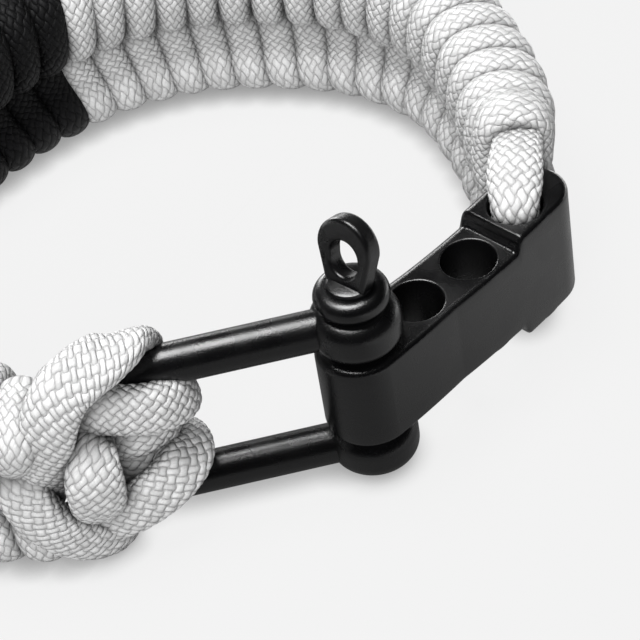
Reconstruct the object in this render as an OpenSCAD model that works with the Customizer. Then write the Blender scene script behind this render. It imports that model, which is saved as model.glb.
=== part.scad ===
// A woven cord bracelet with an adjustable screw-pin shackle. It lies on its side:
// Z is the wrist's direction, Z = 0 is the surface that the band rests on, and the
// origin is the middle of the wrist opening. The clasp lies on the -Y side.

/* [Band] */
// Width of the loop across its middle, from band centre line to centre line
loop_w = 71.4; // [66:0.2:80]
// Depth of the loop from the clasp side to the far side, on the centre line
loop_d = 62; // [58:0.2:68]
// Width of the band along the wrist
band_h = 20.8; // [20.4:0.1:23]
// Thickness of the band off the wrist
band_t = 9.6; // [8:0.1:11]
// Distance from one wrapped cord to the next along an edge of the band
wrap_pitch = 3.95; // [3.4:0.05:5]
// Depth of the grooves between the wrapped cords
rib_depth = 0.9; // [0.4:0.05:1.2]
// How far a wrapped cord runs forward between the edge and the middle of a face
rib_lean = 1.9; // [0:0.1:3]
// Depth of the long groove where the two rows meet in the middle of each face
seam_depth = 1.7; // [0.5:0.1:2.5]
// Extra thickness of the band beside the hitch
knot_swell = 3.2; // [0:0.1:4]
// How much thinner the band is where the bight leaves it
end_taper = 2.4; // [0:0.1:3]
// Share of the band's length that is white on the block's side
white_share = 0.48; // [0.35:0.01:0.5]
// Share of the band's length that is black
black_share = 0.26; // [0.15:0.01:0.35]
// Gap between neighbouring solids of cord
cord_gap = 0.25; // [0.1:0.05:0.3]

/* [Cord] */
// Diameter of the cord where it is round
cord_d = 4.7; // [4:0.1:4.9]
// Width of the cord where it is pressed flat over an edge
flat_w = 5.3; // [4.6:0.1:5.8]
// Thickness of the cord where it is pressed flat over an edge
flat_t = 3; // [2.4:0.1:3.2]

/* [Hitch] */
// Reach of the turns inside the bow's crown, from the middle of its bar
hitch_in = 4; // [3.4:0.1:4.2]
// Half the width of the turns across the bow
hitch_side = 6.7; // [6:0.1:7.2]
// Extra cord over the hitch's outer side
hitch_lead = 0.6; // [0:0.1:1]
// How far the turns climb above their round at the upper shoulder
hitch_rise = 0.4; // [0:0.1:1]
// Depth of the turns that fill the bow between its legs
fill_depth = 4; // [3:0.1:5]

/* [Shackle] */
// Thickness of the bow's round bar
bar_d = 4; // [3:0.1:4.4]
// Length of each straight leg, from the pin's axis to the start of the crown
leg_len = 18; // [16:0.1:20]
// Diameter of the ears
ear_d = 8.7; // [8:0.1:8.8]
// Thickness of each ear
ear_t = 4.6; // [4:0.1:5]
// Radius of the ears' rounded edges
ear_round = 1.8; // [1:0.1:1.9]
// Gap between the block and each ear
ear_gap = 0.3; // [0.2:0.05:0.5]
// Diameter of the pin's shaft
pin_d = 5; // [4.4:0.1:5.2]
// Radial running clearance between the shaft and the ears
pin_play = 0.05; // [0.03:0.01:0.1]
// Diameter of the collar under the pin's eye
collar_d = 7.2; // [6.4:0.1:7.8]
// Height of the collar
collar_h = 2.3; // [1.6:0.1:3]
// Width of the flat eye tab at its round head
tab_w = 6.1; // [5.4:0.1:6.6]
// Width of the tab at its foot
foot_w = 4.3; // [3.8:0.1:4.8]
// Height of the eye tab
tab_h = 6.8; // [6.7:0.1:8.5]
// Thickness of the eye tab
tab_t = 1.9; // [1.6:0.1:2.4]
// Width of the long eye in the tab
eye_w = 3.2; // [2.4:0.1:3.4]
// Height of the long eye in the tab
eye_h = 3.7; // [3.5:0.1:3.9]
// Wall over the eye
eye_wall = 2.2; // [1.5:0.1:2.3]
// How far the tab is turned about the pin
tab_turn = -50; // [-180:5:180]
// How far the tab leans back off its foot
tab_tilt = 14; // [0:1:16]
// How far the tab leans along its own width
tab_lean = -4.5; // [-8:0.5:8]

/* [Adjuster block] */
// Height of the block where the pin may pass
block_h = 10; // [8:0.1:11]
// Height of the block's taller end, where the cord passes
block_end_h = 13; // [12:0.1:13.2]
// From the line of the block's holes to its outer face
block_out = 3.45; // [3.25:0.05:3.5]
// From the line of the block's holes to its wrist face
block_in = 4.1; // [3.3:0.05:4.2]
// Diameter of the block's round end at the pin
pin_end_d = 8.7; // [8:0.1:9]
// How far the block narrows from its pin end, along its length
flank_len = 9; // [6:0.5:10]
// Distance from one hole to the next
hole_pitch = 7.15; // [7.15:0.05:8]
// Diameter of the holes
hole_d = 5.4; // [5.3:0.1:5.6]
// Wall beyond the last hole, measured to the tip of the round end
end_wall = 3.6; // [3.2:0.1:4.4]
// Radius of the block's curve round the wrist
block_curve_r = 112; // [80:1:200]
// How far the block turns off the shackle's line at the pin
block_turn = 28; // [20:1:34]
// Length of the ramp up to the taller end
ramp_len = 0.9; // [0.5:0.1:2]

/* [Hidden] */
white = "whitesmoke";
black = "#1c1c1e";
metal = "#26262a";
$fn = 64;

// Levels and places that everything shares
mid_z = band_h / 2;
clasp_in = 0.6;
clasp_y = -loop_d / 2 + clasp_in;
pin_x = 15;
ear_z = block_h / 2 + ear_gap + ear_t / 2;
hole_count = 4;
ramp_land = 0.4;
chain_len = (hole_count - 1) * hole_pitch;

// A point of the block's curved centre line, d along it from the pin
block_k = 180 / (PI * block_curve_r);
function block_angle(d) = block_turn + block_k * d;
block_centre = [pin_x, clasp_y] + block_curve_r * [-sin(block_turn), cos(block_turn)];
function heading(angle) = [cos(angle), sin(angle)];
function block_at(d, out = 0) = block_centre + (block_curve_r + out) * heading(block_angle(d) - 90);
block_w = block_in + block_out;
block_skew = (block_out - block_in) / 2;
end_cap = chain_len + hole_d / 2 + end_wall - block_w / 2;
ramp_start = chain_len - hole_d / 2 - ramp_len - ramp_land;

// Smooth curve through a list of points, at a parameter that counts the points
function bend(a, b, c, d, u) =
    (2 * b + (c - a) * u + (2 * a - 5 * b + 4 * c - d) * u * u + (3 * b - a - 3 * c + d) * u * u * u) / 2;
function curve(pts, v) =
    let (n = len(pts) - 1, i = min(max(floor(v), 0), n - 1),
         a = i > 0 ? pts[i - 1] : 2 * pts[0] - pts[1],
         d = i + 2 <= n ? pts[i + 2] : 2 * pts[n] - pts[n - 1])
    bend(a, pts[i], pts[i + 1], d, v - i);

// The band's centre line runs from the hitch round the hidden left side and the far
// side to the block. Each row: x as a share of half the loop's width, y as a share
// of half its depth.
LOOP_SHARES = [
    [-0.67, -0.96], [-0.83, -0.83], [-0.94, -0.60], [-0.985, -0.31],
    [-0.96, 0.02], [-0.87, 0.31], [-0.73, 0.54], [-0.53, 0.705], [-0.32, 0.86],
    [-0.08, 0.97], [0.195, 0.995], [0.465, 0.915], [0.715, 0.76], [0.90, 0.505],
    [0.975, 0.20], [0.995, -0.09]];
crown_r = ear_z;
crown_x = pin_x - leg_len;
hitch_slack = 0.4;
hitch_out = bar_d / 2 + flat_t + hitch_slack;
start_out = 0.8;
band_start = [crown_x - crown_r - hitch_out - cord_gap, clasp_y - start_out];
last_hole = block_at(chain_len);
block_tip_y = block_at(end_cap, block_skew)[1] + block_w / 2;
end_in = 0.9;
end_gap = 0.7;
band_end = [loop_w / 2 - end_in, block_tip_y + end_gap];
ROUTE = concat([band_start],
               [for (s = LOOP_SHARES) [s[0] * loop_w / 2, s[1] * loop_d / 2]],
               [band_end]);

// Length along the route, as a table of length and curve parameter
steps = 8;
route_v = [for (i = [0 : (len(ROUTE) - 1) * steps]) i / steps];
route_p = [for (v = route_v) curve(ROUTE, v)];
LENGTHS = [for (i = 0, a = 0; i < len(route_v);
                i = i + 1, a = a + (i < len(route_v) ? norm(route_p[i] - route_p[i - 1]) : 0))
           [a, route_v[i]]];
band_len = LENGTHS[len(LENGTHS) - 1][0];
wraps = round(band_len / wrap_pitch);
pitch = band_len / wraps;
black_from = round(wraps * (1 - white_share - black_share)) * pitch;
black_to = round(wraps * (1 - white_share)) * pitch;
function route_at(s) = curve(ROUTE, lookup(s, LENGTHS));
function route_dir(s) =
    let (v = lookup(s, LENGTHS), d = curve(ROUTE, v + 0.02) - curve(ROUTE, v - 0.02))
    d / norm(d);

// The band's section: a flat oval with a long groove in each face, and ribs that lean
// forward from the edges to the middle outside, and from the middle to the edges inside
ring_n = 16;
oval = 2.6;
seam_w = 2.4;
function power(a, p) = sign(a) * pow(abs(a), p);
top_e = power(cos(180 / ring_n), 2 / oval);
function rib(s, z, side) =
    rib_depth / 2 * cos(360 * (s - rib_lean * side * (1 - abs(z) / mid_z)) / pitch);
swell_len = 3 * wrap_pitch;
taper_len = 2.3 * wrap_pitch;
function swell(s) = knot_swell / 2 * pow(max(0, 1 - s / swell_len), 1.5);
function taper(s) = end_taper / 2 * pow(max(0, 1 - (band_len - s) / taper_len), 1.5);
function section(s, j) =
    let (a = -360 * (j + 0.5) / ring_n, c = power(cos(a), 2 / oval), e = power(sin(a), 2 / oval) / top_e,
         grow = rib(s, mid_z * e, c) - rib_depth / 2,
         seam = seam_depth * exp(-pow(mid_z * e / seam_w, 2)),
         n = (band_t / 2 + swell(s) - taper(s) - seam + grow) * c,
         z = (mid_z + grow) * e)
    [n, z];

// At the hitch the band's end is hollowed to follow the round bundle of cord, and at
// the block it is cut square to the bight. A ring may be shrunk towards its middle.
way = band_end - last_hole;
way_len = norm(way);
way_dir = way / way_len;
end_skew = let (d = route_dir(band_len)) -(way_dir * [-d[1], d[0]]) / (way_dir * d);
skew_len = 1.5 * wrap_pitch;
hollow_len = 2 * wrap_pitch;
hollow = 0.8;
function end_shift(s, n, z) =
    let (r = crown_r + hitch_out)
    end_skew * n * max(0, 1 - (band_len - s) / skew_len)
    - (r - sqrt(r * r - z * z * hollow)) * max(0, 1 - s / hollow_len);
function band_ring(s, scale = 1) =
    let (d = route_dir(s))
    [for (j = [0 : ring_n - 1])
     let (p = section(s, j) * scale, c = route_at(s) + d * end_shift(s, p[0], p[1]))
     [c[0] - d[1] * p[0], c[1] + d[0] * p[0], mid_z + p[1]]];

// One closed skin over a list of rings with as many points each, with a fan at each end
module skin(rings) {
    n = len(rings[0]);
    m = len(rings);
    pts = [for (r = rings) each r];
    first = [for (k = [0 : 2]) [for (p = rings[0]) p[k]] * [for (p = rings[0]) 1 / n]];
    last = [for (k = [0 : 2]) [for (p = rings[m - 1]) p[k]] * [for (p = rings[0]) 1 / n]];
    walls = [for (i = [0 : m - 2]) for (j = [0 : n - 1])
             let (a = i * n + j, b = i * n + (j + 1) % n)
             each [[a, b, b + n], [a, b + n, a + n]]];
    ends = [for (j = [0 : n - 1])
            let (k = (j + 1) % n)
            each [[k, j, n * m], [(m - 1) * n + j, (m - 1) * n + k, n * m + 1]]];
    polyhedron(concat(pts, [first, last]), concat(walls, ends), convexity = 12);
}

module band(from, to, shade) {
    parts = round((to - from) / pitch * 4);
    color(shade)
    skin(concat([for (k = [0.05, 0.4, 0.75]) band_ring(from, k)],
                [for (i = [0 : parts]) band_ring(from + (to - from) * i / parts)]));
}

module band_white_bow_side() {
    band(0, black_from - cord_gap / 2, white);
}

module band_black() {
    band(black_from + cord_gap / 2, black_to - cord_gap / 2, black);
}

module band_white_block_side() {
    band(black_to + cord_gap / 2, band_len, white);
}

// The hitch: turns of cord side by side round the crown, as one ribbed sleeve. It is
// an oval round the bar, reaches further up the upper shoulder than down the lower
// one, and stays above the surface that the band rests on.
hitch_from = -58;
hitch_to = 72;
hitch_turns = 5;
hitch_n = 14;
floor_gap = 0.1;
module bow_hitch() {
    parts = hitch_turns * 4;
    bore_r = (bar_d / 2 + cord_gap) / cos(180 / hitch_n);
    function spot(a, x, y) =
        let (w = crown_r + x)
        [crown_x - w * cos(a), clasp_y + y, mid_z + w * sin(a)];
    function reach(a) =
        a > 0 ? hitch_out + hitch_rise * pow(a / hitch_to, 2)
        : min(hitch_out, (mid_z - floor_gap) / max(sin(-a), 0.1) - crown_r);
    function turn(i) = rib_depth / 2 * (cos(360 * (i / 4 - 0.5)) - 1);
    function edge(i, a, q) =
        let (x = cos(q), k = turn(i) * (x > 0 ? 1 : 0.4))
        [(x > 0 ? reach(a) + k : hitch_in + k) * x,
         (hitch_side + k + (sin(q) < 0 ? hitch_lead : 0)) * sin(q)];
    angles = [for (i = [0 : parts]) hitch_from + (hitch_to - hitch_from) * i / parts];
    outside = [for (i = [0 : parts]) for (j = [0 : hitch_n - 1])
               let (e = edge(i, angles[i], 360 * j / hitch_n))
               spot(angles[i], e[0], e[1])];
    inside = [for (i = [0 : parts]) for (j = [0 : hitch_n - 1])
              let (q = 360 * j / hitch_n)
              spot(angles[i], bore_r * cos(q), bore_r * sin(q))];
    count = len(outside);
    walls = [for (i = [0 : parts - 1]) for (j = [0 : hitch_n - 1])
             let (a = i * hitch_n + j, b = i * hitch_n + (j + 1) % hitch_n)
             each [[a, b, a + hitch_n], [a + hitch_n, b, b + hitch_n],
                   [count + b, count + a, count + b + hitch_n],
                   [count + b + hitch_n, count + a, count + a + hitch_n]]];
    ends = [for (j = [0 : hitch_n - 1])
            let (b = (j + 1) % hitch_n, e = parts * hitch_n)
            each [[b, j, count + b], [count + b, j, count + j],
                  [e + j, e + b, count + e + j], [count + e + j, e + b, count + e + b]]];
    color(white)
    polyhedron(concat(outside, inside), concat(walls, ends), convexity = 12);
}

// The turns that fill the bow's inside beside the crown, between the two legs
fill_turns = 3;
fill_half = ear_z - bar_d / 2 - cord_gap;
fill_from = crown_x - fill_depth / 5;
fill_to = fill_from + fill_depth;
fill_side = hitch_side - hitch_slack * 2;
module hitch_fill() {
    parts = fill_turns * 6;
    sides = 16;
    middle = (fill_from + fill_to) / 2;
    color(white)
    skin([for (i = [0 : parts])
          let (z = fill_half * (2 * i / parts - 1),
               k = rib_depth * 0.7 * (cos(360 * (i / 6 - 0.5)) - 1))
          [for (j = [0 : sides - 1])
           let (q = -360 * (j + 0.5) / sides)
           [middle + ((fill_to - fill_from) / 2 + k * (cos(q) > 0 ? 1 : 0)) * power(cos(q), 0.8),
            clasp_y + (fill_side + k) * power(sin(q), 0.8), mid_z + z]]]);
}

// The bight through the last hole. Each row of its upper half: distance off the
// hole's axis towards the band's end as a share of the way there, height off the
// hole's middle, width and thickness of the cord.
top_z = block_end_h / 2 + cord_gap + flat_t / 2 + 0.1;
module block_loop() {
    out = way_dir;
    side = [out[1], -out[0], 0];
    mouth = hole_d / 2;
    rows = [
        [0, 0, cord_d, cord_d],
        [0, block_end_h / 2 - 1.4, cord_d, cord_d],
        [0.25, block_end_h / 2 + 0.2, cord_d, cord_d - 0.4],
        [mouth * 0.42, top_z - 0.75, flat_w, flat_t + 0.3],
        [mouth, top_z, flat_w, flat_t],
        [way_len * 0.62, top_z, flat_w, flat_t],
        [way_len - cord_gap, top_z - 0.1, flat_w, flat_t]];
    half = len(rows) - 1;
    both = concat([for (i = [half : -1 : 1]) [rows[i][0], -rows[i][1], rows[i][2], rows[i][3]]], rows);
    ring_count = 34;
    sides = 12;
    last = len(both) - 1;
    color(white)
    skin([for (i = [0 : ring_count])
          let (v = last * i / ring_count, p = curve(both, v),
               t = curve(both, min(v + 0.01, last)) - curve(both, max(v - 0.01, 0)),
               tn = [t[0], t[1]] / norm([t[0], t[1]]))
          [for (j = [0 : sides - 1])
           let (q = 360 * j / sides, u = p[2] / 2 * cos(q), w = p[3] / 2 * sin(q))
           [last_hole[0], last_hole[1], mid_z]
           + [out[0] * (p[0] - tn[1] * w), out[1] * (p[0] - tn[1] * w), p[1] + tn[0] * w]
           + side * u]]);
}

module shackle_bow() {
    color(metal)
    translate([0, clasp_y, mid_z])
    difference() {
        union() {
            translate([crown_x, 0, 0])
            rotate([90, 0, 0])
            rotate([0, 0, 90])
            rotate_extrude(angle = 180)
            translate([crown_r, 0])
            circle(d = bar_d);
            for (s = [-1, 1])
            translate([0, 0, s * ear_z]) {
                translate([crown_x, 0, 0])
                rotate([0, 90, 0])
                cylinder(d = bar_d, h = leg_len - pin_d / 2);
                translate([pin_x, 0, 0])
                ear();
            }
        }
        translate([pin_x, 0, -ear_z - ear_t])
        cylinder(d = pin_d + 2 * pin_play, h = 2 * (ear_z + ear_t));
    }
}

// A thick washer with well rounded edges
module ear() {
    flat_r = ear_d / 2 - ear_round;
    flat_h = ear_t / 2 - ear_round;
    rotate_extrude()
    union() {
        translate([0, -ear_t / 2])
        square([flat_r, ear_t]);
        translate([0, -flat_h])
        square([ear_d / 2, 2 * flat_h]);
        for (s = [-1, 1])
        translate([flat_r, s * flat_h])
        circle(r = ear_round);
    }
}

// The pin's head: the tab stands on a short neck that rises out of the collar
neck_d = foot_w - 0.6;
neck_rise = 0.3;
seat_gap = 0.1;
module shackle_pin() {
    tip_z = -ear_z - ear_t / 2;
    collar_z = ear_z + ear_t / 2 + seat_gap;
    color(metal)
    translate([pin_x, clasp_y, mid_z]) {
        translate([0, 0, tip_z])
        cylinder(d = pin_d, h = collar_z - tip_z + seat_gap);
        translate([0, 0, collar_z])
        collar();
        translate([0, 0, collar_z + collar_h / 2])
        cylinder(d = neck_d, h = collar_h / 2 + 2 * neck_rise);
        translate([0, 0, collar_z + collar_h + neck_rise])
        rotate([90, 0, tab_turn])
        rotate([-tab_tilt, 0, 0])
        rotate([0, 0, -tab_lean])
        tab();
    }
}

// A flat tab that widens to a round head, with a long eye, standing in the XY plane
module tab() {
    round_y = tab_h - tab_w / 2;
    shoulder = tab_w / 2 - tab_w / 40;
    eye_y = tab_h - eye_wall - eye_h / 2;
    eye_half = (eye_h - eye_w) / 2;
    difference() {
        translate([0, 0, -tab_t / 2])
        linear_extrude(tab_t)
        union() {
            translate([0, round_y])
            circle(d = tab_w);
            polygon([[-foot_w / 2, -neck_rise], [foot_w / 2, -neck_rise],
                     [shoulder, round_y], [-shoulder, round_y]]);
        }
        for (y = [-eye_half, eye_half])
        translate([0, eye_y + y, -tab_t])
        cylinder(d = eye_w, h = 2 * tab_t);
        translate([-eye_w / 2, eye_y - eye_half, -tab_t])
        cube([eye_w, 2 * eye_half, 2 * tab_t]);
    }
}

// The round collar, a little hollow on top
module collar() {
    rotate_extrude()
    union() {
        translate([collar_d / 2 - collar_h / 2, collar_h / 2])
        circle(d = collar_h);
        square([collar_d / 2 - collar_h / 2, collar_h * 0.8]);
    }
}

// The block seen from above, as a tall prism
module block_plan() {
    span = block_angle(end_cap) - block_angle(0);
    translate([block_centre[0], block_centre[1], -block_end_h])
    rotate([0, 0, block_turn - 90])
    rotate_extrude(angle = span)
    translate([block_curve_r - block_in, 0])
    square([block_w, 2 * block_end_h]);
    for (c = [[block_at(0), pin_end_d], [block_at(end_cap, block_skew), block_w]])
    translate([c[0][0], c[0][1], -block_end_h])
    cylinder(d = c[1], h = 2 * block_end_h);
    flank = [for (s = [[1, block_in], [-1, block_out]])
        let (narrowing = asin((pin_end_d / 2 - s[1]) / flank_len))
        [block_at(0) + pin_end_d / 2 * heading(block_angle(0) + s[0] * (90 - narrowing)),
         block_at(flank_len) + s[1] * heading(block_angle(flank_len) + s[0] * 90)]];
    translate([0, 0, -block_end_h])
    linear_extrude(2 * block_end_h)
    polygon([flank[0][0], flank[0][1], flank[1][1], flank[1][0]]);
}

// The block seen from its side: low, then a ramp on either face, then the taller end
module block_profile() {
    low = block_h / 2;
    high = block_end_h / 2;
    back = -ramp_start - pin_end_d;
    front = block_w + end_wall + hole_d;
    linear_extrude(3 * pin_end_d, center = true)
    polygon([[back, -low], [0, -low], [ramp_len, -high], [front, -high],
             [front, high], [ramp_len, high], [0, low], [back, low]]);
}

module adjuster_block() {
    color(metal)
    translate([0, 0, mid_z])
    difference() {
        intersection() {
            block_plan();
            translate([block_at(ramp_start)[0], block_at(ramp_start)[1], 0])
            rotate([90, 0, block_angle(ramp_start)])
            block_profile();
        }
        for (i = [0 : hole_count - 1])
        translate([block_at(i * hole_pitch)[0], block_at(i * hole_pitch)[1], -block_end_h])
        cylinder(d = hole_d, h = 2 * block_end_h);
    }
}

shackle_bow();
shackle_pin();
adjuster_block();
bow_hitch();
hitch_fill();
band_white_bow_side();
band_black();
band_white_block_side();
block_loop();
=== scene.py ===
"""Dresses the woven cord bracelet: its plaited band, the turns tied round the bow, the
bight through the adjuster block, the black metal parts, and a plain pale set."""
import math
import bpy
import numpy as np
from bpy.props import FloatProperty, FloatVectorProperty, IntProperty, PointerProperty
from bpy.types import Operator, Panel, PropertyGroup
from mathutils import Matrix


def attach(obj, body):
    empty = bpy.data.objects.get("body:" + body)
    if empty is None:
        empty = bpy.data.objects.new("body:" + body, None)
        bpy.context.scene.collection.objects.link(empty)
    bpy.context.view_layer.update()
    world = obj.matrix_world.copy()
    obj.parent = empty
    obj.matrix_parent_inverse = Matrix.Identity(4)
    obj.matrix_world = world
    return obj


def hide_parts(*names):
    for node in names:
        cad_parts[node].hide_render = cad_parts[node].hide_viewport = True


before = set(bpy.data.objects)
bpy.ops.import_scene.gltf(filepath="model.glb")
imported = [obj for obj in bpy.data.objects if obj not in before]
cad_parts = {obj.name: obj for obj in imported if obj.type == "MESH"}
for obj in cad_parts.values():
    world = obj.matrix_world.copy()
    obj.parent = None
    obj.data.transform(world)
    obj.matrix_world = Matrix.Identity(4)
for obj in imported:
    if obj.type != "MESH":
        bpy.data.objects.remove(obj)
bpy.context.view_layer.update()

bl_info = {
    "name": "Cord Bracelet",
    "version": (1, 0, 0),
    "blender": (4, 5, 0),
    "location": "View3D > Sidebar > Bracelet",
    "description": "Builds the looks of a woven cord bracelet on its packed metal parts",
    "category": "Object",
}

MM = 0.001

# The band's centre line seen from above, from the tied bow round to the block. Each row
# is a share of half the loop's width and a share of half its depth.
LOOP_SHARES = [
    (-0.67, -0.96), (-0.83, -0.83), (-0.94, -0.6), (-0.985, -0.31), (-0.96, 0.02),
    (-0.87, 0.31), (-0.73, 0.54), (-0.53, 0.705), (-0.32, 0.86), (-0.08, 0.97),
    (0.195, 0.995), (0.465, 0.915), (0.715, 0.76), (0.9, 0.505), (0.975, 0.2),
    (0.995, -0.09)]
BAND_START = (-16.25, -31.2)
BAND_END = (34.8, -12.26)

# The plait's form, in millimetres. A cord's tip gives way down and toward the wrist, and
# its root down and outward. The plait swells toward the bow and slims toward the block.
# There its top arches over the bight and draws back from the block, before which
# END_GAP stays free. The inner cords lie CORE_Z over and under the middle.
TIP_DROP, TIP_DIP, ROOT_DROP, ROOT_RISE = 1.5, 0.9, 0.3, 1.1
BOW_SWELL, BOW_REACH, END_SLIM, END_REACH = 1.6, 12.0, 1.0, 9.0
ARCH_RISE, ARCH_REACH, DRAW_BACK, DRAW_REACH, END_GAP = 1.4, 2.5, 2.4, 5.0, 0.6
CORE_Z, CORE_W, CORE_T = 4.4, 5.0, 3.4

# How far past the quarter turns tip and root stand, and how far each spreads, in
# radians, the share of its width that the cord loses at the tip, and the share of the
# band's half height from which its top arches, and over which that sets in
TIP_LAG, TIP_SPAN, TIP_SLIM, OVER_FROM, OVER_SPAN = 0.42, 0.3, 0.2, 0.15, 0.6

# The turns tied round the bow, in millimetres: place of the cord's middle, its width and
# thickness, and the way that its flat face looks.
TURNS = {
    "upper_turn": [
        (-15.9, -31.8, 7.1, 4.4, 2.8, 0, -1, -0.6), (-15.7, -34.2, 11.6, 5, 3, 0, -1, -0.1),
        (-15.3, -35.2, 15.2, 5.3, 3.1, -0.1, -1, 0.2), (-14.5, -35.5, 18.2, 5.4, 3.1, -0.1, -1, 0.3),
        (-13.5, -35.2, 20.3, 5.4, 3.1, -0.15, -1, 0.4), (-12.2, -34.6, 21.7, 5.4, 3, -0.2, -0.9, 0.55),
        (-10.6, -33.8, 22.3, 5.4, 3, -0.2, -0.8, 0.75), (-8.8, -32.8, 22.5, 5.4, 2.9, -0.2, -0.5, 0.9),
        (-7, -31.4, 22.2, 5.4, 2.7, -0.3, -0.2, 1), (-6, -29.9, 21.1, 5.3, 2.6, -0.3, 0.3, 1),
        (-5.4, -28.4, 19.2, 5.2, 2.6, -0.1, 0.8, 0.6), (-5.4, -27.2, 17.4, 5.2, 2.8, 0, 1, 0.1),
        (-7, -26.4, 14.6, 5.2, 3, 0, 1, 0), (-10.2, -25.6, 12, 5.2, 3.1, 0, 1, 0),
        (-13.6, -26.4, 9.6, 5, 3, -0.2, 1, 0), (-16.4, -28.6, 8.4, 4.6, 3, -1, 0.6, 0)],
    "middle_turn": [
        (-11.9, -32.6, 16.9, 4.8, 2.9, 0, -1, 0.2), (-9.6, -33.4, 17.1, 5, 2.9, 0, -1, 0.2),
        (-6.5, -33.8, 16.5, 5, 2.9, 0, -1, 0.2), (-4.2, -33.3, 15.8, 5, 2.9, 0.3, -1, 0.25),
        (-2.3, -31.7, 14.9, 5, 2.9, 0.9, -0.7, 0.25), (-2, -29.4, 13.8, 5, 2.9, 1, 0.6, 0),
        (-4.6, -28, 12.4, 4.8, 2.9, 0.3, 1, 0), (-9, -27.6, 11.4, 4.6, 2.9, 0, 1, 0)],
    "second_turn": [
        (-9.7, -31.6, 11.4, 4.6, 2.8, 0, -1, 0.1), (-7.1, -32.3, 11.8, 4.6, 2.8, 0, -1, 0.1),
        (-5.1, -31.6, 11.7, 4.6, 2.8, 0.5, -1, 0.1), (-4.1, -30, 11, 4.6, 2.8, 1, -0.1, 0.1),
        (-5, -28.4, 10.2, 4.6, 2.8, 0.4, 1, 0), (-9, -28, 9.4, 4.4, 2.8, 0, 1, 0)],
    "third_turn": [
        (-10, -31.4, 7.2, 4.8, 2.8, 0, -1, 0.1), (-7.5, -32.2, 8, 4.8, 2.8, 0.1, -1, 0.1),
        (-5.4, -31.3, 8.4, 4.8, 2.8, 0.6, -1, 0.1), (-4.3, -29.8, 8.2, 4.8, 2.8, 1, -0.1, 0.1),
        (-5.2, -28.4, 7.4, 4.6, 2.8, 0.4, 1, 0), (-9, -28, 6.8, 4.4, 2.8, 0, 1, 0)],
    "front_bump": [
        (-10.7, -33.4, 13.4, 3.4, 2.6, 0, -1, 0.7), (-11, -35.4, 14, 4.4, 3, 0, -1, 0.4),
        (-11.4, -36.6, 13.1, 5.2, 3.1, 0, -1, 0.2), (-11.6, -37, 11.1, 5.5, 3.1, 0, -1, 0),
        (-11.7, -36.6, 8.8, 5.3, 3, 0, -1, -0.3), (-11.9, -34.8, 5.6, 4.6, 2.8, 0, -0.7, -1)],
    "lower_turn": [
        (-14.4, -32.8, 2.9, 4.2, 2.8, 0, -1, 0), (-12.1, -34.6, 4, 4.6, 2.9, 0.1, -1, 0.1),
        (-9.5, -35.4, 5.1, 4.8, 2.9, 0.1, -1, 0.2), (-7.2, -35.4, 6.2, 4.9, 3, 0.15, -1, 0.3),
        (-5.2, -34.8, 7, 5, 3, 0.25, -1, 0.4), (-3.6, -33.6, 7.6, 5.1, 3, 0.3, -1, 0.6),
        (-2.7, -31.6, 7.5, 5.1, 3, 0.3, -0.5, 1), (-2.8, -29.2, 6.8, 5, 3, 0.2, 0.4, 1),
        (-3.8, -27, 6.6, 5, 3, 0.1, 1, 0.4), (-7, -25.6, 8, 5, 3, 0, 1, 0.2),
        (-10.6, -25.4, 7.8, 5, 3, 0, 1, 0.1), (-14.6, -26.4, 6.4, 4.8, 3, -0.2, 1, 0)],
    "bottom_turn": [
        (-18.4, -32.6, 11.8, 4.6, 3, -0.1, -1, 0.3), (-18.5, -34.4, 11, 4.9, 3, -0.1, -1, 0.2),
        (-17.9, -35.4, 9, 5, 3.1, -0.1, -1, 0.1), (-16.9, -35.9, 6.9, 5, 3.1, -0.05, -1, 0.1),
        (-15.2, -36, 4.8, 4.9, 3.1, 0, -1, 0.1), (-13.2, -35.8, 3.3, 4.6, 3, 0.1, -1, 0.1),
        (-11, -35, 2.5, 4.2, 2.8, 0.2, -1, 0.1), (-9.3, -33.2, 2.2, 3.8, 2.7, 0.3, -1, 0)],
    "back_bump": [
        (-10.6, -28.4, 14.6, 4.8, 3, 0, 1, 0.6), (-11.6, -26.2, 14.8, 5.2, 3.1, 0, 1, 0.4),
        (-12.6, -24.8, 13.2, 5.4, 3.2, 0, 1, 0.2), (-13.2, -24.4, 11, 5.4, 3.2, 0, 1, 0),
        (-13.2, -25, 8.4, 5.2, 3.1, 0, 1, -0.3), (-12.8, -27, 5.6, 4.6, 3, 0, 0.7, -1)]
}

# Columns that a turn's braid climbs round the cord with each pick along it
TWIST = {"upper_turn": 0.45, "front_bump": -0.3, "lower_turn": -0.4, "bottom_turn": 0.4}

# The bight from the middle of the last hole up to the block's end, and from there on
# into the band, in millimetres: reach from that place, height over the band's middle,
# width and thickness
BIGHT_AT_HOLE = [
    (0, 0, 4.7, 4.7), (0, 5.1, 4.7, 4.7), (0.25, 6.8, 4.8, 4.3), (1.13, 7.8, 5.3, 3.4),
    (2.7, 8.6, 5.4, 3), (4.2, 8.8, 5.2, 2.9), (5.6, 8.7, 5, 2.8)]
BIGHT_IN_BAND = [(1, 8.1, 4.8, 2.8), (3.2, 6.8, 4.6, 2.8), (5.5, 5.6, 4.4, 3)]
LAST_HOLE = (32.86, -18.59)

# The sheath: how far a yarn bulges over its neighbours' ends, in its own width, the
# height that is the cord's own surface, and the share of the relief that the mesh of a
# fine cord takes
BULGE, SHEATH_LEVEL, FINE_RELIEF = 0.14, 0.6, 0.7

# How strongly a yarn rounds off across itself and falls toward its float's ends
YARN_ROUND, YARN_FALL = 3.4, 0.7

# Each sheath's painted shade in the grooves between yarns, as a share of its yarns' colour, roughness
# and gloss
SHEATHS = {"white": (0.62, 0.42, 0.45), "black": (0.3, 0.62, 0.22)}

# Fine streaks across a yarn, and the coating's grain and clouds to the metre
STREAKS, GRAIN_SCALE, CLOUD_SCALE = 11.0, 6500.0, 260.0

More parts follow.
